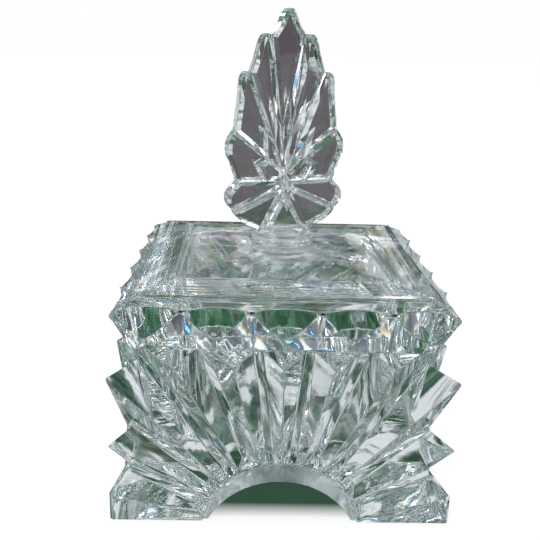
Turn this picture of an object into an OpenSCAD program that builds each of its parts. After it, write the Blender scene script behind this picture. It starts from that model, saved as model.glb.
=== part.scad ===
// Square cut crystal powder jar with a lift-off lid and a leaf finial.
// The origin is the middle of the face that the four feet stand on, and the front faces -Y.

/* [Jar] */
// Width of the jar over the flute ridges
jar_w = 111; // [100:1:120]
// Height of the jar to the seat of the lid
jar_h = 57.5; // [54:0.5:62]
// Depth of the flutes where they reach the top edge
flute_depth = 7.4; // [6:0.1:8]
// Width of the flat bottom of a flute
flute_flat = 2.6; // [1.5:0.1:3.5]
// How far the centre of each fan of flutes lies below the feet
fan_drop = 5; // [4:0.5:6.5]
// Height lost by the sloping top edge outside the seat
rim_drop = 3.4; // [2:0.1:5]

/* [Arch] */
// Height of the arch at the foot of each side
arch_h = 14.3; // [12:0.1:15]
// Radius of the arch
arch_r = 26.5; // [25:0.1:28]
// Radius of the smooth collar over the arch, from the centre of the fan
collar_r = 26.8; // [26:0.1:28]
// Depth of the step between the collar and its raised edge
collar_step = 0.8; // [0.4:0.1:1.2]

/* [Cavity] */
// Width of the cavity for the powder
cavity_w = 79; // [74:1:80]
// Radius of the upright corners of the cavity
cavity_r = 12; // [8:1:16]
// Height of the cavity's floor above the table
floor_z = 20; // [19:0.5:24]

/* [Lid] */
// Width of the lid over the corner tips
lid_w = 107.8; // [104:0.2:110]
// Height of the rim's tips above the seat
tip_h = 14.8; // [14.2:0.1:15.8]
// Height of the four corner tips above the seat
corner_h = 13.2; // [12.5:0.1:14]
// Width of the square where the smooth shoulder meets the frame band
band_w = 94.4; // [92:0.2:96]
// Height of that edge above the seat
band_h = 17.7; // [17.3:0.1:18.5]
// Width of the square inside the frame band
panel_w = 69.2; // [66:0.2:72]
// Height of that edge above the seat
panel_h = 19.6; // [19.2:0.1:20.5]
// Height of the small step at both edges of the frame band
band_step = 0.6; // [0.3:0.1:0.8]
// Rise of the low pyramid inside the frame band
pyramid_rise = 2.8; // [2.2:0.1:3.4]
// Depth of the shallow hollows between the rim's tips
hollow_depth = 2.2; // [1.5:0.1:2.6]
// How far the rim is undercut at the seat, below each tip
undercut = 6.6; // [5.5:0.1:7]
// Depth of the valley that each undercut forms
undercut_valley = 2; // [1.5:0.1:2.3]
// Gap between the lid's flange and the wall of the cavity
flange_gap = 0.5; // [0.3:0.1:0.8]
// Height of the flange below the seat
flange_h = 3.5; // [3:0.1:5]
// Height of the hollow above the seat
recess_h = 5; // [3:0.5:6]

/* [Finial] */
// Height of the leaf above its neck
leaf_h = 76; // [68:1:82]
// Turn of the leaf on the lid, in degrees
leaf_turn = 17; // [0:1:45]
// Half thickness of the leaf at its hub
hub_t = 6.5; // [5.5:0.1:7.5]
// Half thickness of the leaf at the tips of its lobes
tip_t = 4.2; // [3.5:0.1:5]
// Half thickness of the leaf at the notches between its lobes
notch_t = 1.6; // [1.2:0.1:2.2]
// Radius of the peg that is bonded into the lid
peg_r = 6; // [5:0.5:7]
// Length of the peg
peg_h = 8; // [6:0.5:9]

/* [Hidden] */
$fn = 64;
eps = 0.01;
big = 200;
reach = 30;

crystal = [0.80, 0.85, 0.84, 0.45];
crystal_lid = [0.82, 0.87, 0.88, 0.45];
crystal_leaf = [0.76, 0.79, 0.80, 0.5];

// The fan: flutes every 15 degrees, ten to a side, so that ridges stand at 0, 15 ... 75 degrees.
flute_step = 15;
flutes = 10;
ridge_sink = 0.15;
flute_mouth = 24;
collar_depth = 12;
collar_edge = 1;
seat_w = jar_w - 2 * flute_depth;
fan_reach = jar_h + fan_drop;
flute_half = tan(flute_step / 2);

// The lid's rim: tips at the corners and every fifth of the width between them.
rim_pitches = 5;
rim_pitch = lid_w / rim_pitches;
undercut_flat = 2.6;
hollow_overlap = 0.3;
flange_w = cavity_w - 2 * flange_gap;
flange_wall = 5;
socket_gap = 0.05;
neck_seat = panel_h + 0.9;
neck_z = jar_h + neck_seat;

// The neck: its foot, its core and the three beads round it, each as [radius, height].
neck_r = 11.2;
neck_h = 7.4;
core_r = 8.2;
bead_r = 1.3;
beads = [[9.9, bead_r], [10.9, 3 * bead_r], [8.8, 5 * bead_r]];
root_h = 1.5;

// The leaf's right-hand outline as [half width, share of the leaf's height], tips and notches
// in turn from the top; its base on the neck closes it.
leaf_tips = [[0, 1], [9, 0.882], [16.2, 0.71], [21.5, 0.392], [21.8, 0.155], [17, 0.053]];
leaf_notches = [[6, 0.872], [13.2, 0.716], [18.4, 0.464], [17.6, 0.232], [18.6, 0.092]];
leaf_base = [7.7, -0.01];
hub_share = 0.265;

// Runs the children once for each of the four sides.
module on_each_side() {
    for (side = [0:3]) rotate([0, 0, 90 * side]) children();
}

// A solid with a rounded square plan, standing on z = 0.
module rounded_block(w, r, h) {
    translate([-w / 2 + r, -w / 2, 0]) cube([w - 2 * r, w, h]);
    translate([-w / 2, -w / 2 + r, 0]) cube([w, w - 2 * r, h]);
    for (x = [-1, 1]) {
        for (y = [-1, 1]) translate([x * (w / 2 - r), y * (w / 2 - r), 0]) cylinder(r = r, h = h);
    }
}

// A half profile mirrored into a prism along Y and cut by the same prism along X, which leaves
// a solid whose level sections are all squares.
module square_turned(profile) {
    outline = concat(profile, [for (i = [len(profile) - 1:-1:0]) [-profile[i][0], profile[i][1]]]);
    intersection() {
        rotate([90, 0, 0]) linear_extrude(big, center = true) polygon(outline);
        rotate([90, 0, 90]) linear_extrude(big, center = true) polygon(outline);
    }
}

// One flute of the front fan: a flat-bottomed V that runs out from the centre of the fan and
// sinks steadily, so that its two edges are the ridges on either side.
module flute(angle) {
    half_angle_tan = flute_half / sin(flute_tilt());
    floor_lift = flute_flat / 2 / half_angle_tan;
    translate([0, -jar_w / 2 + ridge_sink, -fan_drop])
        rotate([0, angle, 0])
            rotate([-flute_tilt(), 0, 0])
                linear_extrude(big) polygon([
                    [-flute_flat / 2, -floor_lift],
                    [flute_flat / 2, -floor_lift],
                    [flute_mouth * half_angle_tan, -flute_mouth],
                    [-flute_mouth * half_angle_tan, -flute_mouth]
                ]);
}

function flute_tilt() = atan((flute_depth + flute_flat / 2) / fan_reach);

// The ring of glass that closes the inner ends of the flutes over the arch.
module collar() {
    back_r = collar_r + collar_depth;
    intersection() {
        translate([0, -jar_w / 2, -fan_drop]) rotate([-90, 0, 0])
            cylinder(r1 = collar_r, r2 = back_r, h = collar_depth, $fn = 96);
        translate([-back_r, -jar_w / 2, 0]) cube([2 * back_r, collar_depth, back_r]);
    }
}

module collar_recess() {
    translate([0, -jar_w / 2 - eps, -fan_drop]) rotate([-90, 0, 0])
        cylinder(r = collar_r - collar_edge, h = collar_step, $fn = 96);
}

module arch() {
    translate([0, 0, arch_h - arch_r]) rotate([90, 0, 0])
        cylinder(r = arch_r, h = big, center = true, $fn = 96);
}

module jar_body() {
    color(crystal) difference() {
        union() {
            difference() {
                square_turned([[jar_w / 2, 0], [jar_w / 2, jar_h - rim_drop], [seat_w / 2, jar_h]]);
                on_each_side() {
                    for (i = [0:flutes - 1]) flute((i - (flutes - 1) / 2) * flute_step);
                }
            }
            on_each_side() collar();
        }
        on_each_side() collar_recess();
        arch();
        rotate([0, 0, 90]) arch();
        translate([0, 0, floor_z]) rounded_block(cavity_w, cavity_r, jar_h);
    }
}

// A shallow upright hollow between two tips of the rim.
module rim_hollow() {
    half_chord = rim_pitch / 2 + hollow_overlap;
    radius = (half_chord * half_chord + hollow_depth * hollow_depth) / (2 * hollow_depth);
    translate([0, -lid_w / 2 + hollow_depth - radius, -eps]) cylinder(r = radius, h = big, $fn = 160);
}

// The cut below one tip: it starts at the tip, leans in towards the seat and is a little
// deeper along its flat middle than at its sides.
module rim_undercut(start_h) {
    lean = atan(undercut / start_h);
    slope = undercut_valley / (rim_pitch / 2);
    wide = rim_pitch;
    translate([0, -lid_w / 2, start_h]) rotate([lean, 0, 0])
        translate([0, 0, -reach]) linear_extrude(2 * reach) polygon([
            [-undercut_flat / 2, 0],
            [undercut_flat / 2, 0],
            [wide, -slope * wide],
            [wide, -reach],
            [-wide, -reach],
            [-wide, -slope * wide]
        ]);
}

// The facet that takes the shoulder down to a corner tip.
module corner_facet() {
    run = (lid_w - band_w) / 2 * sqrt(2);
    fall = band_h - band_step - corner_h;
    translate([band_w / 2, band_w / 2, band_h - band_step])
        rotate([0, 0, 45]) rotate([0, atan(fall / run), 0])
            translate([0, -reach, 0]) cube([reach, 2 * reach, reach]);
}

// The low pyramid sits a step below the frame band that runs round it.
module panel_recess() {
    difference() {
        translate([-panel_w / 2, -panel_w / 2, panel_h - band_step])
            cube([panel_w, panel_w, big]);
        square_turned([
            [panel_w / 2 + 1, 0],
            [panel_w / 2 + 1, panel_h - band_step - pyramid_slope()],
            [0, panel_h - band_step + pyramid_rise]
        ]);
    }
}

// How far the pyramid's face falls in one millimetre.
function pyramid_slope() = pyramid_rise / (panel_w / 2);

module lid() {
    color(crystal_lid) translate([0, 0, jar_h]) difference() {
        union() {
            difference() {
                square_turned([
                    [lid_w / 2, 0],
                    [lid_w / 2, tip_h],
                    [band_w / 2, band_h - band_step],
                    [band_w / 2, band_h],
                    [panel_w / 2, panel_h],
                    [0, panel_h + pyramid_rise]
                ]);
                panel_recess();
                on_each_side() {
                    for (i = [-2:2]) translate([i * rim_pitch, 0, 0]) rim_hollow();
                    for (i = [-1.5:1.5]) translate([i * rim_pitch, 0, 0]) rim_undercut(tip_h);
                    for (i = [-2.5, 2.5]) translate([i * rim_pitch, 0, 0]) rim_undercut(corner_h);
                    corner_facet();
                }
            }
            translate([0, 0, -flange_h])
                rounded_block(flange_w, cavity_r - flange_gap, flange_h + band_step);
        }
        translate([0, 0, -flange_h - eps])
            rounded_block(flange_w - 2 * flange_wall, cavity_r - flange_wall, flange_h + recess_h);
        translate([0, 0, neck_seat - peg_h]) cylinder(r = peg_r + socket_gap, h = big);
        translate([0, 0, neck_seat]) cylinder(r = neck_r + 2 * socket_gap, h = big);
    }
}

// The neck with the peg below it; the core runs on up into the root of the leaf.
module neck() {
    translate([0, 0, -peg_h]) cylinder(r = peg_r, h = peg_h + bead_r);
    cylinder(r = neck_r, h = bead_r);
    cylinder(r = core_r, h = neck_h + root_h);
    for (bead = beads) {
        translate([0, 0, bead[1] - bead_r]) cylinder(r = bead[0], h = 2 * bead_r);
        translate([0, 0, bead[1]]) rotate_extrude() translate([bead[0], 0]) circle(r = bead_r, $fn = 32);
    }
}

// The leaf's outline goes up the right side and down the left, each point as
// [x, height, half thickness].
function leaf_point(p, t, side) = [side * p[0], p[1] * leaf_h, t];
function leaf_side(side) = [
    for (i = [0:2 * len(leaf_notches) - 1])
        i % 2 == 0 ? leaf_point(leaf_notches[i / 2], notch_t, side)
                   : leaf_point(leaf_tips[(i + 1) / 2], tip_t, side)
];
function reversed(list) = [for (i = [len(list) - 1:-1:0]) list[i]];

// Pleats fan out from the hub to the outline on both faces: ridges to the tips of the lobes
// and valleys to the notches.
module leaf() {
    rim = concat(
        [leaf_point(leaf_tips[0], tip_t, 1)],
        leaf_side(1),
        [leaf_point(leaf_base, hub_t - 1, 1), leaf_point(leaf_base, hub_t - 1, -1)],
        reversed(leaf_side(-1))
    );
    n = len(rim);
    points = concat(
        [for (p = rim) [p[0], -p[2], p[1]]],
        [for (p = rim) [p[0], p[2], p[1]]],
        [[0, -hub_t, hub_share * leaf_h], [0, hub_t, hub_share * leaf_h]]
    );
    front = [for (i = [0:n - 1]) [2 * n, i, (i + 1) % n]];
    back = [for (i = [0:n - 1]) [2 * n + 1, n + (i + 1) % n, n + i]];
    edge_a = [for (i = [0:n - 1]) [(i + 1) % n, i, n + i]];
    edge_b = [for (i = [0:n - 1]) [(i + 1) % n, n + i, n + (i + 1) % n]];
    polyhedron(points, concat(front, back, edge_a, edge_b));
}

module finial() {
    color(crystal_leaf) translate([0, 0, neck_z]) {
        neck();
        translate([0, 0, neck_h]) rotate([0, 0, leaf_turn]) leaf();
    }
}

jar_body();
lid();
finial();
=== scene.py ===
# %% [markdown]
# # A cut crystal powder jar
# The jar is three pieces of clear crystal: a square box on four corner feet, a square lid that
# lifts straight off, and a leaf on a ringed neck that is bonded into the lid. The design holds
# their sizes. This lesson gives them what a cutter and a furnace give glass: edges that are
# ground sharp and then softened in the fire, faces that are never quite flat, and a body whose
# colour only shows where the glass is thick.

# %% Load the frame
import bpy
import bmesh
import math
from mathutils import Matrix, Vector


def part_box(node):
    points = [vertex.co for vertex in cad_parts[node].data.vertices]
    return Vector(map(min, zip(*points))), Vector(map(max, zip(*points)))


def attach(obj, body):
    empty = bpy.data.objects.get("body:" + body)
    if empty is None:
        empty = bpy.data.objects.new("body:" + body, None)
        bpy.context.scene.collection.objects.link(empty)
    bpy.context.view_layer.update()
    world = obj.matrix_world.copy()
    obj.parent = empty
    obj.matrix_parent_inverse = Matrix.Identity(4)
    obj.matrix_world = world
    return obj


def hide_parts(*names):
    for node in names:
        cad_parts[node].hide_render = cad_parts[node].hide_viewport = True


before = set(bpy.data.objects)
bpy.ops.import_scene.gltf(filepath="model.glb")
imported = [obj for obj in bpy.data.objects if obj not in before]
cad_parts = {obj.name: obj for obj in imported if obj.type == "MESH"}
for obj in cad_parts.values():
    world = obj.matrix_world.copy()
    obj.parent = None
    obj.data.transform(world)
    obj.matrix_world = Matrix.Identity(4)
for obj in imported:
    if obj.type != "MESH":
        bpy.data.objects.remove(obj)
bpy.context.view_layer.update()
MM = 0.001

# %% [markdown]
# ## The camera
# Someone stands a little left of the middle and looks down on the lid. At a quarter of a metre
# the perspective is strong, so the front of the jar is clearly wider than its back.

# %% Camera
CAMERA_AT = Vector((-0.0103, -0.2702, 0.1550))
TURN, PITCH, ROLL = (math.radians(a) for a in (1.32, 17.67, 1.51))
LENS = 51.1

camera_data = bpy.data.cameras.new("camera")
camera_data.sensor_width = 36
camera_data.lens = LENS
camera_data.clip_start = 0.01
camera_data.clip_end = 50
camera = bpy.data.objects.new("camera", camera_data)
bpy.context.scene.collection.objects.link(camera)
camera.matrix_world = (
    Matrix.Translation(CAMERA_AT)
    @ Matrix.Rotation(-TURN, 4, "Z")
    @ Matrix.Rotation(math.pi / 2 - PITCH, 4, "X")
    @ Matrix.Rotation(ROLL, 4, "Z")
)
bpy.context.scene.camera = camera
print("camera at", [round(c / MM) for c in CAMERA_AT], "mm")

# %% [markdown]
# ## Small helpers for node trees
# Every finish here is a tree of nodes, and most of a tree is arithmetic on places and colours.
# Wiring each node by hand would hide that, so a few helpers add one node each: a sum or a
# product, a colour ramp, a noise, a mix of two colours.

# %% Node helpers
BLACK = (0.0, 0.0, 0.0)
WHITE = (1.0, 1.0, 1.0)


def link_nodes(tree, *pairs):
    for out, into in pairs:
        tree.links.new(out, into)


def set_or_link(tree, socket, value):
    if isinstance(value, (int, float)):
        socket.default_value = value
    elif isinstance(value, tuple):
        socket.default_value = (*value, 1)
    else:
        tree.links.new(value, socket)


def maths(tree, operation, *values):
    node = tree.nodes.new("ShaderNodeMath")
    node.operation = operation
    for socket, value in zip(node.inputs, values):
        set_or_link(tree, socket, value)
    return node.outputs[0]


def vectors(tree, operation, a, b=None, scale=None):
    node = tree.nodes.new("ShaderNodeVectorMath")
    node.operation = operation
    tree.links.new(a, node.inputs[0])
    if b is not None:
        tree.links.new(b, node.inputs[1])
    if scale is not None:
        set_or_link(tree, node.inputs["Scale"], scale)
    return node.outputs["Value"] if operation == "LENGTH" else node.outputs[0]


def split_axes(tree, vector):
    node = tree.nodes.new("ShaderNodeSeparateXYZ")
    tree.links.new(vector, node.inputs[0])
    return [node.outputs[axis] for axis in "XYZ"]


print("arithmetic helpers ready")

# %% [markdown]
# Colour comes from two more: a ramp turns a number into a colour, and a noise gives the number
# that varies over a surface. The last helper joins two shaders, so that the camera sees one and
# every ray that has already passed through glass sees the other.

# %% Colour helpers
def ramp(tree, factor, stops):
    node = tree.nodes.new("ShaderNodeValToRGB")
    elements = node.color_ramp.elements
    while len(elements) < len(stops):
        elements.new(0.5)
    for element, (position, colour) in zip(elements, stops):
        element.position = position
        element.color = (*colour, 1)
    tree.links.new(factor, node.inputs["Fac"])
    return node.outputs["Color"]


def noise(tree, vector, scale, detail=2.0, distortion=0.0):
    node = tree.nodes.new("ShaderNodeTexNoise")
    node.inputs["Scale"].default_value = scale
    node.inputs["Detail"].default_value = detail
    node.inputs["Distortion"].default_value = distortion
    tree.links.new(vector, node.inputs["Vector"])
    return node.outputs["Fac"]


def mixed(tree, first, second, factor):
    node = tree.nodes.new("ShaderNodeMix")
    node.data_type = "RGBA"
    ends = [socket for socket in node.inputs if socket.type == "RGBA"]
    for socket, value in zip([node.inputs[0]] + ends, (factor, first, second)):
        set_or_link(tree, socket, value)
    return next(socket for socket in node.outputs if socket.type == "RGBA")


def seen_or_through(tree, seen, through):
    rays = tree.nodes.new("ShaderNodeLightPath")
    mix = tree.nodes.new("ShaderNodeMixShader")
    link_nodes(
        tree,
        (rays.outputs["Is Camera Ray"], mix.inputs[0]),
        (through, mix.inputs[1]),
        (seen, mix.inputs[2]),
    )
    return mix.outputs[0]


print("colour helpers ready")

# %% [markdown]
# ## The sky that the glass shows
# Clear glass has no look of its own: it shows what is round it, and a white room makes it
# vanish. So the light that goes on through the glass meets an open-air sky. It is dull and dark
# at the horizon and bright above, and it is broken by clouds. Each cloud has a warm edge and a
# cool edge, the way thick glass splits the border of anything bright. A ready-made panorama
# could light the glass as well, but a noise needs no file and can be turned until its clouds
# lie well.

# %% Sky
SKY_STRENGTH = 1.5
DULL = (0.10, 0.09, 0.097)


def open_sky(tree, direction, height):
    brightness = ramp(tree, height, [
        (0.50, (0.60, 0.62, 0.66)),
        (0.66, (0.80, 0.84, 0.90)),
        (1.0, WHITE),
    ])
    turned = tree.nodes.new("ShaderNodeMapping")
    turned.inputs["Location"].default_value = (1.3, 4.2, 2.3)
    tree.links.new(direction, turned.inputs["Vector"])
    clouds = ramp(tree, noise(tree, turned.outputs[0], 3.0, 2.5, 0.8), [
        (0.34, (0.05, 0.06, 0.06)),
        (0.46, (0.20, 0.21, 0.22)),
        (0.505, (0.24, 0.24, 0.25)),
        (0.515, (0.75, 0.52, 0.30)),
        (0.535, (0.95, 0.95, 0.95)),
        (0.60, WHITE),
        (0.612, (0.28, 0.58, 0.85)),
        (0.625, (0.25, 0.26, 0.29)),
        (0.72, (0.04, 0.04, 0.05)),
    ])
    sky = vectors(tree, "SCALE", vectors(tree, "MULTIPLY", brightness, clouds), scale=SKY_STRENGTH)
    return mixed(tree, DULL, sky, ramp(tree, height, [(0.53, BLACK), (0.59, WHITE)]))


print("sky strength:", SKY_STRENGTH)

# %% [markdown]
# A few small, hard glints go on top of the clouds, well above the horizon. They are what makes
# cut glass sparkle. The middles of Voronoi cells are round and evenly scattered, and a ramp on
# the distance from the middle gives each glint its coloured rim.

# %% Glints
GLINT_STRENGTH = 14.0
LOWEST_GLINT = 0.12


def glints(tree, direction, up):
    cells = tree.nodes.new("ShaderNodeTexVoronoi")
    cells.inputs["Scale"].default_value = 5.2
    tree.links.new(direction, cells.inputs["Vector"])
    spots = ramp(tree, cells.outputs["Distance"], [
        (0.0, WHITE),
        (0.09, WHITE),
        (0.12, (0.55, 0.24, 0.05)),
        (0.15, (0.02, 0.16, 0.36)),
        (0.18, BLACK),
    ])
    above = maths(tree, "MULTIPLY", maths(tree, "GREATER_THAN", up, LOWEST_GLINT), GLINT_STRENGTH)
    return vectors(tree, "SCALE", spots, scale=above)


print("glints are", GLINT_STRENGTH, "times as bright as white")

# %% [markdown]
# ## The room
# The room joins the two: plain white for the camera, and the sky with its glints for the rays
# that have been through the glass.

# %% Room
def make_room():
    world = bpy.data.worlds.new("studio")
    bpy.context.scene.world = world
    world.use_nodes = True
    tree = world.node_tree
    tree.nodes.clear()
    direction = tree.nodes.new("ShaderNodeTexCoord").outputs["Generated"]
    up = split_axes(tree, direction)[2]
    height = maths(tree, "MULTIPLY_ADD", up, 0.5, 0.5)
    lit = tree.nodes.new("ShaderNodeBackground")
    light = vectors(tree, "ADD", open_sky(tree, direction, height), glints(tree, direction, up))
    tree.links.new(light, lit.inputs["Color"])
    plain = tree.nodes.new("ShaderNodeBackground")
    plain.inputs["Color"].default_value = (*WHITE, 1)
    out = tree.nodes.new("ShaderNodeOutputWorld")
    tree.links.new(seen_or_through(tree, plain.outputs[0], lit.outputs[0]), out.inputs["Surface"])
    return world


print("room:", len(make_room().node_tree.nodes), "nodes")

# %% [markdown]
# ## The floor as the camera sees it
# To the camera the floor is plain and pale. Only between the feet it is painted a dark green
# shade: a painted shadow that stands in for the shade under the arches, where little but the
# green of the garden gets in. The square of the four feet is found from the larger of the two
# distances from the middle. The floor glows a little by itself, which keeps it as pale far away
# as it is near the lamp.

# %% Pale floor
def pale_floor_with_painted_shade(tree, sides):
    # The dark green stop is a painted shadow under the jar, which fades out to the pale floor.
    painted_shade_ramp = ramp(tree, maths(tree, "MULTIPLY", maths(tree, "MAXIMUM", *sides), 10.0), [
        (0.45, (0.035, 0.080, 0.050)),
        (0.53, (0.88, 0.89, 0.88)),
        (0.60, (0.97, 0.97, 0.97)),
    ])
    glow = tree.nodes.new("ShaderNodeEmission")
    glow.inputs["Strength"].default_value = 1.16
    soft = tree.nodes.new("ShaderNodeBsdfDiffuse")
    pale = tree.nodes.new("ShaderNodeMixShader")
    pale.inputs[0].default_value = 0.2
    link_nodes(
        tree,
        (painted_shade_ramp, glow.inputs["Color"]),
        (painted_shade_ramp, soft.inputs["Color"]),
        (glow.outputs[0], pale.inputs[1]),
        (soft.outputs[0], pale.inputs[2]),
    )
    return pale.outputs[0]


# The dark green between the feet is painted shade, not a colour of the floor itself.
print("the floor is dark green between the feet")

# %% [markdown]
# ## The garden under the glass
# Through the glass the floor is a table in a garden: silvery close to the jar, then patches of
# green, and a dull brown-grey towards the horizon, with a light cloth on either side. Each is a
# noise with a ramp of its own, and the distance from the jar picks between them.

# %% Garden table
def garden(tree, place, sides):
    grass = ramp(tree, noise(tree, place, 14, 2.0, 0.4), [
        (0.40, (0.018, 0.055, 0.030)),
        (0.50, (0.050, 0.140, 0.078)),
        (0.58, (0.110, 0.250, 0.145)),
        (0.62, (0.43, 0.45, 0.46)),
    ])
    table = ramp(tree, noise(tree, place, 60, 3.0, 0.8), [
        (0.39, (0.014, 0.050, 0.028)),
        (0.48, (0.050, 0.125, 0.078)),
        (0.53, (0.25, 0.27, 0.28)),
        (0.59, (0.76, 0.77, 0.80)),
    ])
    taupe = ramp(tree, noise(tree, place, 3.0), [
        (0.3, (0.090, 0.080, 0.087)),
        (0.7, (0.108, 0.097, 0.103)),
    ])
    cloth = ramp(tree, noise(tree, place, 22, 2.0, 0.5), [
        (0.36, (0.10, 0.17, 0.13)),
        (0.44, (0.45, 0.48, 0.50)),
        (0.60, (0.85, 0.88, 0.92)),
    ])
    distance = maths(tree, "MULTIPLY", vectors(tree, "LENGTH", place), 2.0)
    near = ramp(tree, distance, [(0.16, WHITE), (0.24, BLACK)])
    away = ramp(tree, distance, [(0.5, BLACK), (0.9, WHITE)])
    aside = ramp(tree, maths(tree, "MULTIPLY", sides[0], 4.0), [(0.72, BLACK), (0.88, WHITE)])
    ground = mixed(tree, mixed(tree, grass, table, near), taupe, away)
    glow = tree.nodes.new("ShaderNodeEmission")
    tree.links.new(mixed(tree, ground, cloth, aside), glow.inputs["Color"])
    return glow.outputs[0]


print("garden ready")

# %% [markdown]
# ## The floor
# The floor itself is one wide disc. It lies a hair below the feet, because two surfaces in the
# same place would fight.

# %% Floor
FLOOR_GAP = 0.2 * MM
FLOOR_R = 4.0


def floor_material():
    material = bpy.data.materials.new("pale floor")
    material.use_nodes = True
    tree = material.node_tree
    tree.nodes.clear()
    place = tree.nodes.new("ShaderNodeTexCoord").outputs["Object"]
    sides = [maths(tree, "ABSOLUTE", axis) for axis in split_axes(tree, place)[:2]]
    out = tree.nodes.new("ShaderNodeOutputMaterial")
    shader = seen_or_through(tree, pale_floor_with_painted_shade(tree, sides), garden(tree, place, sides))
    tree.links.new(shader, out.inputs["Surface"])
    return material


bm = bmesh.new()
bmesh.ops.create_circle(bm, cap_ends=True, segments=96, radius=FLOOR_R)
bmesh.ops.translate(bm, verts=bm.verts, vec=(0, 0, -FLOOR_GAP))
floor_mesh = bpy.data.meshes.new("floor")
bm.to_mesh(floor_mesh)
bm.free()
floor_mesh.materials.append(floor_material())
floor = bpy.data.objects.new("floor", floor_mesh)
bpy.context.scene.collection.objects.link(floor)
print("floor:", round(floor.dimensions.x, 1), "m across")

# %% [markdown]
# ## Soft light
# One broad, weak panel stands behind the camera, so that the floor is evenly lit. It is far
# too soft to leave a white patch on a facet, and the glass doesn't mirror it.

# %% Lamp
PANEL_AT = Vector((-0.8, -1.0, 1.4))
AIM_AT = Vector((0, 0, 0.08))

panel_light = bpy.data.lights.new("panel", "AREA")
panel_light.size = 1.2
panel_light.energy = 14
panel = bpy.data.objects.new("panel", panel_light)
bpy.context.scene.collection.objects.link(panel)
panel.location = PANEL_AT
panel.rotation_euler = (AIM_AT - PANEL_AT).to_track_quat("-Z", "Y").to_euler()
panel.visible_transmission = False
panel.visible_glossy = False
print("panel:", panel_light.size, "m wide,", panel_light.energy, "W")

# %% [markdown]
# Light crosses many faces of cut glass before it comes out, so it is followed through two dozen
# of them. The few very bright paths that are left are clamped, or they would show as specks.

# %% Film
scene = bpy.context.scene
scene.view_settings.view_transform = "Standard"
scene.cycles.max_bounces = 24
scene.cycles.transmission_bounces = 24
scene.cycles.glossy_bounces = 12
scene.cycles.sample_clamp_indirect = 8
scene.cycles.use_denoising = True
print("light is followed through", scene.cycles.max_bounces, "faces")

# %% [markdown]
# ## The surface of the crystal
# A mould and a polishing wheel both leave their mark on glass. The surface carries a slow
# ripple, a finer grain in places and a very little haze. At the root of the leaf, where the
# mould was cooler, it is crackled. All of these are far too small to model, so they are heights
# for a bump.

# %% Ripple, grain and haze
def rippled(tree, place, ripple, grain):
    slow = maths(tree, "MULTIPLY", noise(tree, place, 80, 1.5), ripple)
    patchy = maths(tree, "MULTIPLY", noise(tree, place, 30, 1.0), grain)
    fine = maths(tree, "MULTIPLY", noise(tree, place, 420, 2.0), patchy)
    return maths(tree, "ADD", slow, fine)


def crackled(tree, place, height, below):
    low = maths(tree, "MULTIPLY", maths(tree, "LESS_THAN", height, below), 0.25)
    return maths(tree, "MULTIPLY", noise(tree, place, 260, 3.0), low)


def hazy(tree, place):
    return ramp(tree, noise(tree, place, 35), [(0.45, BLACK), (0.8, (0.03, 0.03, 0.03))])


print("surface ready")

# %% [markdown]
# ## Two worked places
# The collar over each arch is left softly satin by the wheel that cut it. It is a flat ring, so
# its place is a distance from the centre of the fan, on the outermost faces only. The lid's
# frame band was drawn past a wheel along its length. That leaves fine lines which run round the
# square and meet at its mitred corners: a noise of the distance from the middle, and of nothing
# else, gives just that.

# %% Satin collar and drawn lines
SATIN = 0.3
LINE_DEPTH = 0.22


def on_collar(tree, sides, out, height, collar):
    radius, centre, face = collar
    lengths = (maths(tree, "SUBTRACT", height, centre), maths(tree, "MINIMUM", *sides))
    squares = [maths(tree, "MULTIPLY", length, length) for length in lengths]
    reach = maths(tree, "SQRT", maths(tree, "ADD", *squares))
    inside = maths(tree, "LESS_THAN", reach, radius)
    return maths(tree, "MULTIPLY", inside, maths(tree, "GREATER_THAN", out, face))


def drawn_lines(tree, out, height, band):
    inner, above = band
    only_out = tree.nodes.new("ShaderNodeCombineXYZ")
    tree.links.new(out, only_out.inputs["X"])
    lines = noise(tree, only_out.outputs[0], 650, 0.5)
    outside = maths(tree, "GREATER_THAN", out, inner)
    on_band = maths(tree, "MULTIPLY", outside, maths(tree, "GREATER_THAN", height, above))
    return maths(tree, "MULTIPLY", lines, maths(tree, "MULTIPLY", on_band, LINE_DEPTH))


print("satin", SATIN, "and lines", LINE_DEPTH)

# %% [markdown]
# ## Crystal
# All three pieces are poured from the same melt, with an index of 1.53. Its trace of green-blue
# only shows on a long path, so it is an absorption inside the glass as well as a very faint
# tint of the surface.

# %% Crystal material
BUMP = 0.6 * MM


def crystal(name, ripple, grain, collar=None, band=None, crackled_below=None):
    material = bpy.data.materials.new(name)
    material.use_nodes = True
    tree = material.node_tree
    shader = tree.nodes["Principled BSDF"]
    shader.inputs["Base Color"].default_value = (0.972, 0.992, 0.989, 1)
    shader.inputs["Transmission Weight"].default_value = 1.0
    shader.inputs["IOR"].default_value = 1.53
    place = tree.nodes.new("ShaderNodeTexCoord").outputs["Object"]
    x, y, height = split_axes(tree, place)
    sides = [maths(tree, "ABSOLUTE", axis) for axis in (x, y)]
    out = maths(tree, "MAXIMUM", *sides)
    surface = rippled(tree, place, ripple, grain)
    haze = hazy(tree, place)
    if crackled_below is not None:
        surface = maths(tree, "ADD", surface, crackled(tree, place, height, crackled_below))
    if collar is not None:
        satin = maths(tree, "MULTIPLY", on_collar(tree, sides, out, height, collar), SATIN)
        haze = maths(tree, "ADD", haze, satin)
    if band is not None:
        surface = maths(tree, "ADD", surface, drawn_lines(tree, out, height, band))
    bump = tree.nodes.new("ShaderNodeBump")
    bump.inputs["Strength"].default_value = 1.0
    bump.inputs["Distance"].default_value = BUMP
    inside = tree.nodes.new("ShaderNodeVolumeAbsorption")
    inside.inputs["Color"].default_value = (0.58, 0.83, 0.81, 1)
    inside.inputs["Density"].default_value = 3.0
    link_nodes(
        tree,
        (surface, bump.inputs["Height"]),
        (bump.outputs["Normal"], shader.inputs["Normal"]),
        (haze, shader.inputs["Roughness"]),
        (inside.outputs[0], tree.nodes["Material Output"].inputs["Volume"]),
    )
    print("made", name, "with", len(tree.nodes), "nodes")
    return material


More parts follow.
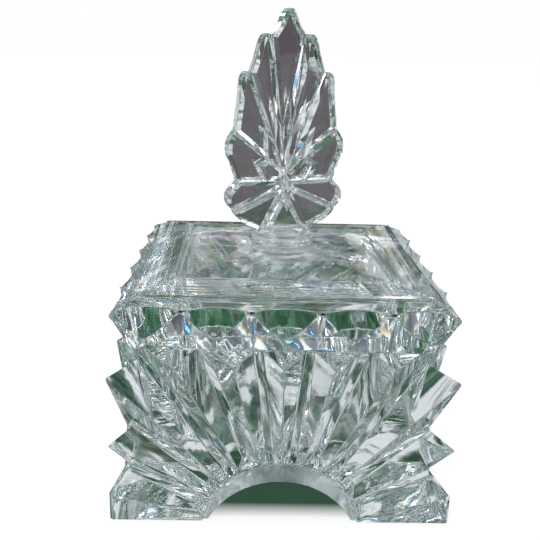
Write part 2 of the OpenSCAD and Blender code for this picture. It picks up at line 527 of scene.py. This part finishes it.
# %% [markdown]
# ## Copies of the cut pieces
# The box and the lid keep the design's facets. The design's mesh is loose triangles, so a copy
# is merged, and triangles that lie in one plane become one facet again: only then does an edge
# of the mesh mean an edge of the glass.

# %% Copy a cut piece
SAME_PLANE = math.radians(0.6)
SLIVER = 0.12 * MM


def cut_copy(node):
    bm = bmesh.new()
    bm.from_mesh(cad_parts[node].data)
    bmesh.ops.remove_doubles(bm, verts=bm.verts, dist=2e-6)
    bmesh.ops.dissolve_limit(
        bm, angle_limit=SAME_PLANE, verts=bm.verts, edges=bm.edges, use_dissolve_boundaries=False
    )
    bmesh.ops.dissolve_degenerate(bm, dist=SLIVER, edges=bm.edges)
    shortest = min(e.calc_length() for e in bm.edges)
    print(node, len(bm.faces), "facets, shortest edge", round(shortest / MM, 2), "mm")
    return bm


# %% [markdown]
# ## Blunted tips
# The points that stand out at the corners are thin, and a thin tip melts first. Each one is cut
# back square to its corner and the hole is closed. A bevel of the point could round it too, but
# four or five edges meet there at narrow angles, and their bevels would run into one another.

# %% Blunt the tips
ON_MITRE = 0.5 * MM
TIP_FACES = 2.5 * MM
FURTHER_OUT = 0.05 * MM
TOUCHING = 0.01 * MM


def on_mitre(v):
    return abs(abs(v.co.x) - abs(v.co.y)) < ON_MITRE


def corner_tips(bm, corner_from):
    # A tip stands out further along its corner than every point that it is joined to.
    def out(v):
        return abs(v.co.x) + abs(v.co.y)

    return [
        v.co.copy() for v in bm.verts
        if on_mitre(v) and abs(v.co.x) > corner_from
        and all(out(e.other_vert(v)) < out(v) + FURTHER_OUT for e in v.link_edges)
    ]


def blunt_tips(bm, depth, corner_from):
    tips = corner_tips(bm, corner_from)
    for tip in tips:
        away = Vector((math.copysign(1, tip.x), math.copysign(1, tip.y), 0)).normalized()
        at = tip - away * depth
        faces = [f for f in bm.faces if any((v.co - tip).length < TIP_FACES for v in f.verts)]
        if not any((v.co - at).dot(away) > TOUCHING for f in faces for v in f.verts):
            continue
        edges = {e for f in faces for e in f.edges}
        verts = {v for f in faces for v in f.verts}
        bmesh.ops.bisect_plane(
            bm, geom=faces + list(edges) + list(verts), dist=1e-6,
            plane_co=at, plane_no=away, clear_outer=True,
        )
        bmesh.ops.holes_fill(bm, edges=[e for e in bm.edges if e.is_boundary])
    print("tips blunted:", len(tips), "open edges:", sum(not e.is_manifold for e in bm.edges))
    return tips


# %% [markdown]
# ## Fire polish
# A flame rounds every ground edge by about four tenths of a millimetre. The long mitres of the
# lid are broader, because the wheel met them twice. A bevel weight on each edge says how far
# its rounding goes, and the bevel itself is left to a modifier. The small cuts across the tips
# stay sharp.

# %% Fire polish
SHARP = math.radians(20)
BARELY = math.radians(3)
MITRE_LENGTH = 8 * MM


def fire_polish(bm, width, widest, tips, radius):
    weights = bm.edges.layers.float.new("bevel_weight_edge")
    sharp, mitred = 0, 0
    for e in bm.edges:
        if not e.is_manifold:
            continue
        angle = e.calc_face_angle()
        e.smooth = angle < SHARP
        if any((v.co - tip).length < radius for v in e.verts for tip in tips):
            continue
        if angle > SHARP:
            e[weights] = width / widest
            e.smooth = True
            sharp += 1
        elif (
            angle > BARELY and e.calc_length() > MITRE_LENGTH
            and all(on_mitre(v) for v in e.verts)
        ):
            e[weights] = 1.0
            mitred += 1
    print("sharp edges:", sharp, "soft mitres:", mitred)


print("edges sharper than", round(math.degrees(SHARP)), "degrees are polished")

# %% [markdown]
# ## Finishing a piece
# Every piece ends the same way: its normals point outwards, its faces are smooth, a bevel
# rounds its edges, and it rides on its body in place of the design's node. Hardened normals
# keep the flats flat right up to the rounding. The box and the lid round the weighted edges;
# the moulded leaf and its neck, which have no weights, round whatever is sharp.

# %% Finish a piece
MOULDED_EDGE = 0.35 * MM


def finished(bm, name, material, body, node, polish=None):
    bmesh.ops.recalc_face_normals(bm, faces=bm.faces)
    open_edges = sum(1 for e in bm.edges if not e.is_manifold)
    print(name, len(bm.faces), "faces,", open_edges, "open edges")
    for f in bm.faces:
        f.smooth = True
    mesh = bpy.data.meshes.new(name)
    bm.to_mesh(mesh)
    bm.free()
    mesh.materials.append(material)
    piece = bpy.data.objects.new(name, mesh)
    bpy.context.scene.collection.objects.link(piece)
    bevel = piece.modifiers.new("fire polish", "BEVEL")
    bevel.segments = 3
    bevel.miter_outer = "MITER_ARC"
    bevel.harden_normals = True
    bevel.use_clamp_overlap = polish is None
    bevel.limit_method = "ANGLE" if polish is None else "WEIGHT"
    bevel.angle_limit = SHARP
    bevel.width = MOULDED_EDGE if polish is None else polish
    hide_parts(node)
    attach(piece, body)
    return piece


# %% [markdown]
# ## The box
# Its flutes fan out from below the feet on all four sides, and the ridges between them run into
# teeth at the corners. Where a ridge runs out just beside the edge of the collar, a wheel
# leaves one point, not two, so the end of the ridge is joined to that edge.

# %% Join the ridges to the collar
box_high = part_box("jar_body")[1]
NEAR = 0.4 * MM


def side_reach(v):
    return max(abs(v.co.x), abs(v.co.y))


jar = cut_copy("jar_body")
targets = {}
for e in jar.edges:
    inner, outer = sorted(e.verts, key=side_reach)
    on_side = box_high.x - side_reach(outer) < TOUCHING
    if on_side and side_reach(outer) - side_reach(inner) > TOUCHING and e.calc_length() < NEAR:
        targets[inner] = outer
bmesh.ops.weld_verts(jar, targetmap=targets)
print("ridge ends joined to the collar:", len(targets))

# %% [markdown]
# The teeth and the feet are the parts that the fire rounds most. The collar's satin ring is
# given by its radius, the height of the fan's centre and the side it lies on.

# %% Box
EDGE = 0.4 * MM
HIP = 0.8 * MM
TIP = 0.6 * MM
TEETH_FROM = 47 * MM
RING_R, FAN_DROP, RING_DEPTH = 25.8 * MM, 5 * MM, 2 * MM
collar = (RING_R, -FAN_DROP, box_high.x - RING_DEPTH)

fire_polish(jar, EDGE, HIP, blunt_tips(jar, TIP, TEETH_FROM), 2 * TIP)
jar_crystal = crystal("jar crystal", ripple=0.08, grain=0.05, collar=collar)
finished(jar, "jar_glass", jar_crystal, "jar", "jar_body", HIP)

# %% [markdown]
# ## The lid
# The leaf's peg is glued into a socket in the middle with a cement as clear as the glass, so
# the socket can't be seen. The copy closes it over. The seat is lifted by a few hundredths of a
# millimetre, which leaves the film of air that any lid rests on.

# %% Lid
AIR = 0.05 * MM
SOCKET_R, SOCKET_FLOOR = 11.6 * MM, 6 * MM
RIM_FROM = 50 * MM
BAND_HALF, BAND_UP = 34.9 * MM, 16.5 * MM
seat = box_high.z

lid = cut_copy("lid")
socket = [
    f for f in lid.faces
    if all(v.co.xy.length < SOCKET_R for v in f.verts)
    and f.calc_center_median().z > seat + SOCKET_FLOOR
]
bmesh.ops.delete(lid, geom=socket, context="FACES")
holes = [e for e in lid.edges if e.is_boundary]
filled = bmesh.ops.holes_fill(lid, edges=holes)["faces"]
print("socket faces taken out:", len(socket), "hole edges:", len(holes), "closed with", len(filled))
for v in lid.verts:
    if abs(v.co.z - seat) < TOUCHING:
        v.co.z += AIR
fire_polish(lid, EDGE, HIP, blunt_tips(lid, TIP / 2, RIM_FROM), 2 * TIP)
band = (BAND_HALF, seat + BAND_UP)
lid_crystal = crystal("lid crystal", ripple=0.12, grain=0.05, band=band)
finished(lid, "lid_glass", lid_crystal, "lid", "lid", HIP)

# %% [markdown]
# ## The neck
# Three soft rings stand on a foot, turned while the glass was hot. A profile spun once round
# the axis makes them. The rings could be three separate rounds as well, but one profile keeps
# them one piece of glass, as they are.

# %% Neck
LEAF_H = 76 * MM
NECK_H = 7.4 * MM
leaf_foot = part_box("finial")[1].z - LEAF_H
neck_foot = leaf_foot - NECK_H
RINGS = ((9.9, 1.9), (10.9, 3.9), (8.8, 6.2))
RING_OUT, RING_UP = 1.3, 1.15
RING_STEPS = 8
CRACKLED_H = 19 * MM


def ring_profile():
    # Radius and height, in millimetres above the foot of the neck.
    profile = [(0.0, 0.9), (11.0, 0.9), (11.0, 0.75)]
    for radius, height in RINGS:
        for step in range(RING_STEPS + 1):
            turn = math.radians(-75 + 150 * step / RING_STEPS)
            profile.append((radius + RING_OUT * math.cos(turn), height + RING_UP * math.sin(turn)))
    profile += [(8.0, 7.6), (0.0, 7.6)]
    return profile


neck = bmesh.new()
points = [neck.verts.new((r * MM, 0, neck_foot + z * MM)) for r, z in ring_profile()]
steps = [neck.edges.new(pair) for pair in zip(points, points[1:])]
bmesh.ops.spin(
    neck, geom=points + steps, cent=(0, 0, 0), axis=(0, 0, 1),
    angle=math.tau, steps=72, use_merge=True,
)
bmesh.ops.remove_doubles(neck, verts=neck.verts, dist=1e-6)
leaf_crystal = crystal(
    "leaf crystal", ripple=0.12, grain=0.05, crackled_below=leaf_foot + CRACKLED_H
)
finished(neck, "neck_rings", leaf_crystal, "lid", "finial")

# %% [markdown]
# ## The leaf
# The leaf is a thick plate. Its outline is eleven rounded lobes, and on both faces a groove
# runs from each notch to a long bead at the heart of the leaf, so that every lobe is a flat
# petal with bright sloping edges. A shorter petal lies over the root of each of the larger
# ones. The net of grooves is drawn flat first, in millimetres, and pulled out into a plate
# later. Half of the outline is enough, because the leaf is the same on both sides.

# %% Leaf outline
TIPS = [(0, 76.0), (9, 67.0), (16.2, 54.0), (21.5, 29.8), (21.8, 11.8), (17, 4.1)]
NOTCHES = [(6, 66.3), (13.2, 54.5), (18.5, 35.3), (17.6, 17.6), (18.7, 7.1)]
ROOT = (7.7, -0.8)
BEAD_TOP, BEAD_FOOT, BEAD_HALF = 20.1, 9.5, 1.5
BEAD_STEPS = 3
LOBE_R = 6.0


def rounded_tip(before, tip, after, steps=12):
    # The tip is replaced by a curve that leaves one side, passes through it and joins the other.
    b, t, a = (Vector(p) for p in (before, tip, after))
    start, end = (
        p if (p - t).length < LOBE_R else t + (p - t).normalized() * LOBE_R for p in (b, a)
    )
    beyond = t * 1.8 - (start + end) * 0.4
    curve = []
    for step in range(steps + 1):
        s = step / steps
        curve.append(tuple(start * (1 - s) ** 2 + beyond * 2 * s * (1 - s) + end * s * s))
    return curve


print("lobes:", 2 * len(TIPS) - 1)

# %% [markdown]
# ## One petal
# A petal is the outline of one lobe between two notches, closed by the two grooves that run in
# to the bead. A doubled one is crossed by a crest, which parts it from the short petal over its
# root.

# %% One petal
SPLIT = 0.34


def between(a, b, share):
    return (a[0] + (b[0] - a[0]) * share, a[1] + (b[1] - a[1]) * share)


def petal(above, tip, below, a_end, b_end, doubled):
    left, right = between(a_end, above, SPLIT), between(b_end, below, SPLIT)
    lobe = [above] + rounded_tip(above, tip, below) + [below]
    if not doubled:
        return [[a_end, left] + lobe + [right, b_end]]
    inner, outer = between(a_end, b_end, 0.5), between(between(above, below, 0.5), tip, 0.4)
    crest = between(inner, outer, 0.5)
    return [[left] + lobe + [right, crest], [a_end, left, crest, right, b_end]]


print("a doubled petal is crossed", SPLIT, "of the way out")

# %% [markdown]
# ## The net of grooves
# The petals share their corners, so each corner is made once and looked up after that. The left
# half is the right half with its widths turned round. The root of the leaf and the bead are two
# more faces, and with them the net is closed.

# %% Leaf net
DOUBLED = (1, 2, 3)


def mirrored(points):
    return [(-x, z) for x, z in points]


def bead_flank():
    drop = (BEAD_FOOT - BEAD_TOP) / (BEAD_STEPS + 1)
    return [
        (BEAD_HALF * math.sin(math.pi * (k + 0.3) / (BEAD_STEPS + 1.4)), BEAD_TOP + drop * k)
        for k in range(1, BEAD_STEPS + 1)
    ]


def net_loops():
    flank = bead_flank()
    heart, foot = (0, BEAD_TOP), (0, BEAD_FOOT)
    ends = [heart, heart, heart] + flank
    feet = NOTCHES + [ROOT]
    half = []
    for i in range(1, len(TIPS)):
        half += petal(feet[i - 1], TIPS[i], feet[i], ends[i - 1], ends[i], i in DOUBLED)
    top = petal(mirrored(feet[:1])[0], TIPS[0], feet[0], heart, heart, True)
    root = [flank[-1], between(flank[-1], ROOT, SPLIT), ROOT]
    below_bead = [foot] + root + mirrored(root)[::-1]
    bead = [heart] + flank + [foot] + mirrored(flank)[::-1]
    return half + [mirrored(loop) for loop in half] + top + [below_bead, bead]


leaf = bmesh.new()
placed = {}
for loop in net_loops():
    corners = []
    for x, z in loop:
        key = (round(x, 3), round(z, 3))
        if key not in placed:
            placed[key] = leaf.verts.new((x * MM, 0, z * MM))
        if placed[key] not in corners:
            corners.append(placed[key])
    leaf.faces.new(corners)
print("net:", len(leaf.faces), "petals,", len(leaf.edges), "grooves and edges")

# %% [markdown]
# ## The plate
# The plate is the net drawn out to its full thickness. Setting each petal in by about a
# millimetre leaves a narrow rim round it, and the net itself, which is now the outer edge of
# every rim, is pressed down into the plate. The bead stands a little proud instead.

# %% Leaf plate
HALF_T = 4.2 * MM
PRESSED = 1.7 * MM
RIM = 1.05 * MM
BEAD_RIM = 0.35 * MM
PROUD = 0.9 * MM
BEAD_NEAR = 1 * MM
LEAF_TURN = math.radians(17)
bead_middle = Vector((0, (BEAD_TOP + BEAD_FOOT) / 2 * MM))

back = bmesh.ops.extrude_face_region(leaf, geom=leaf.faces[:])["geom"]
back_verts = [g for g in back if isinstance(g, bmesh.types.BMVert)]
front_verts = [v for v in leaf.verts if v not in set(back_verts)]
bmesh.ops.translate(leaf, verts=front_verts, vec=(0, -HALF_T, 0))
bmesh.ops.translate(leaf, verts=back_verts, vec=(0, HALF_T, 0))
bmesh.ops.recalc_face_normals(leaf, faces=leaf.faces)
petals = [f for f in leaf.faces if abs(f.normal.y) > 0.9]
beads = [f for f in petals if (f.calc_center_median().xz - bead_middle).length < BEAD_NEAR]
flat = [f for f in petals if f not in beads]
net_verts = list({v for f in petals for v in f.verts})
bmesh.ops.inset_individual(leaf, faces=flat, thickness=RIM, use_even_offset=True)
bmesh.ops.inset_individual(leaf, faces=beads, thickness=BEAD_RIM, use_even_offset=True)
for v in net_verts:
    v.co.y -= math.copysign(PRESSED, v.co.y)
for f in beads:
    for v in f.verts:
        v.co.y += math.copysign(PROUD, v.co.y)
print("petals on both faces:", len(flat), "beads:", len(beads))

# %% [markdown]
# The leaf stands turned on its neck by 17 degrees, as it was set when the cement was wet.

# %% Set the leaf on its neck
bmesh.ops.rotate(leaf, verts=leaf.verts, cent=(0, 0, 0), matrix=Matrix.Rotation(LEAF_TURN, 3, "Z"))
bmesh.ops.translate(leaf, verts=leaf.verts, vec=(0, 0, leaf_foot))
finished(leaf, "leaf_glass", leaf_crystal, "lid", "finial")
